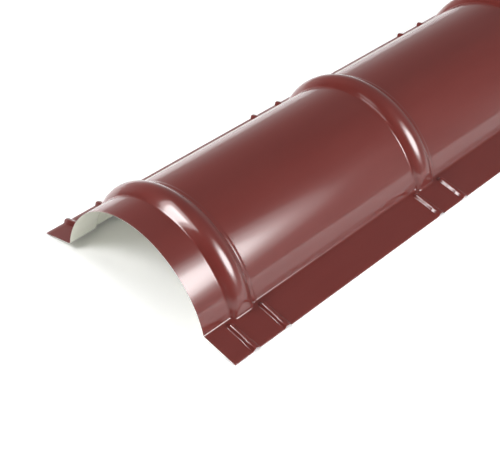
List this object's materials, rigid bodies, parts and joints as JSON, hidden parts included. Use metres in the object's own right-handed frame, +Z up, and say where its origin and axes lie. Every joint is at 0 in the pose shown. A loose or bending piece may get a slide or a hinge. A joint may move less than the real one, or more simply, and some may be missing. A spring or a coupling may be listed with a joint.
{
  "type": "roof ridge cap",
  "caption": "Half-round metal roof ridge cap in one length, with pressed beads across the arch and hemmed sloping flanges crimped in pleats beside each bead.",
  "frame": {"origin": "on the floor under the middle of the piece, at the centre of the box's bottom face", "axes": "+Y along the ridge away from the front lap, +Z up, +X across the ridge"},
  "size_m": [0.307, 2, 0.1068],
  "materials": {
    "painted_sheet": "glossy oxide red polyester paint on galvanized steel, light grey backing coat inside"
  },
  "bodies": {
    "root": {"ridge_cap": "painted_sheet"}
  },
  "joints": []
}
